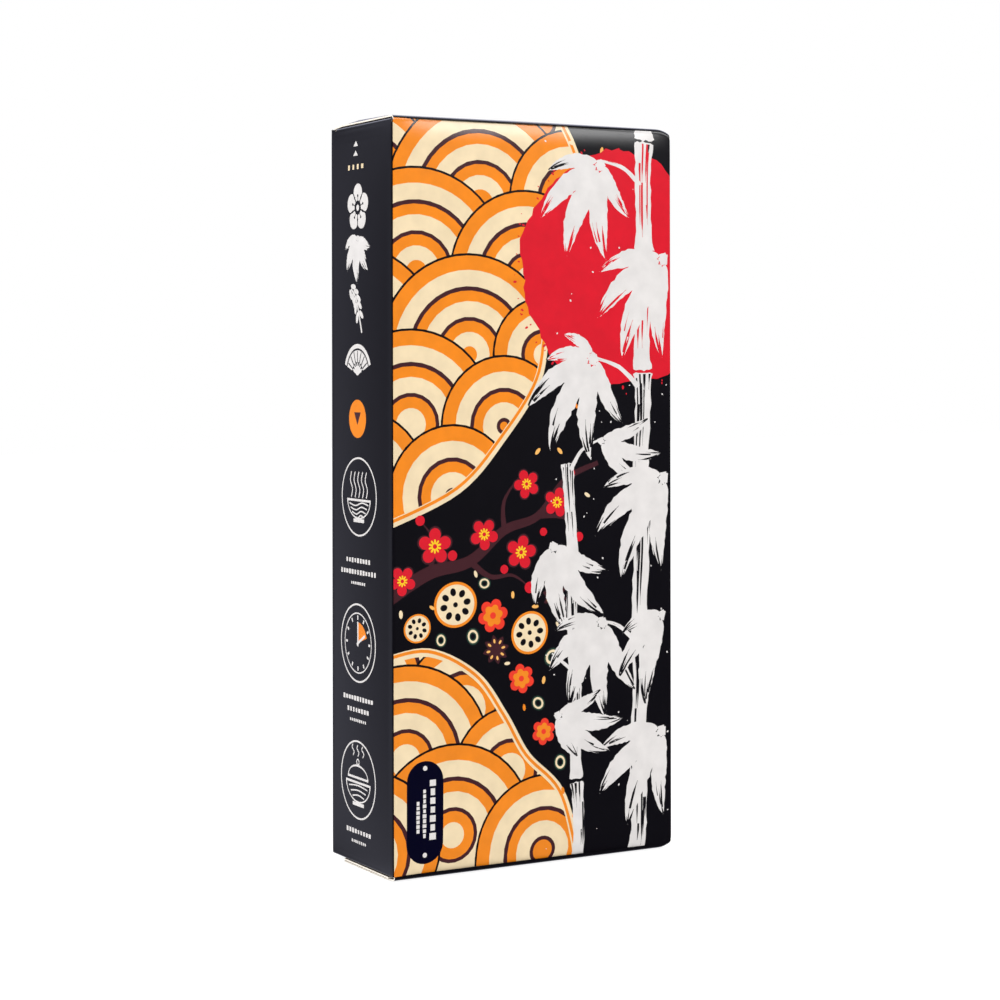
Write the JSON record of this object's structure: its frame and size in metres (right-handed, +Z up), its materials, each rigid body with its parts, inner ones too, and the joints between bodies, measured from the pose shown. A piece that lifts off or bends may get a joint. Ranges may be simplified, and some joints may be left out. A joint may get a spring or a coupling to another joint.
{
  "type": "noodle carton",
  "caption": "Tall shut paperboard carton for dried noodles, with a tucked lid flap, a glued base and dark printed walls.",
  "frame": {"origin": "middle of the footprint, on the surface that the carton stands on", "axes": "+Z up along the carton's height; -Y out of the wide front wall; +X to the right across the front"},
  "size_m": [0.1006, 0.044, 0.2315],
  "materials": {
    "printed_board": "matt laminated paperboard, printed black with orange, cream and red"
  },
  "bodies": {
    "root": {"carton": "printed_board"}
  },
  "joints": []
}
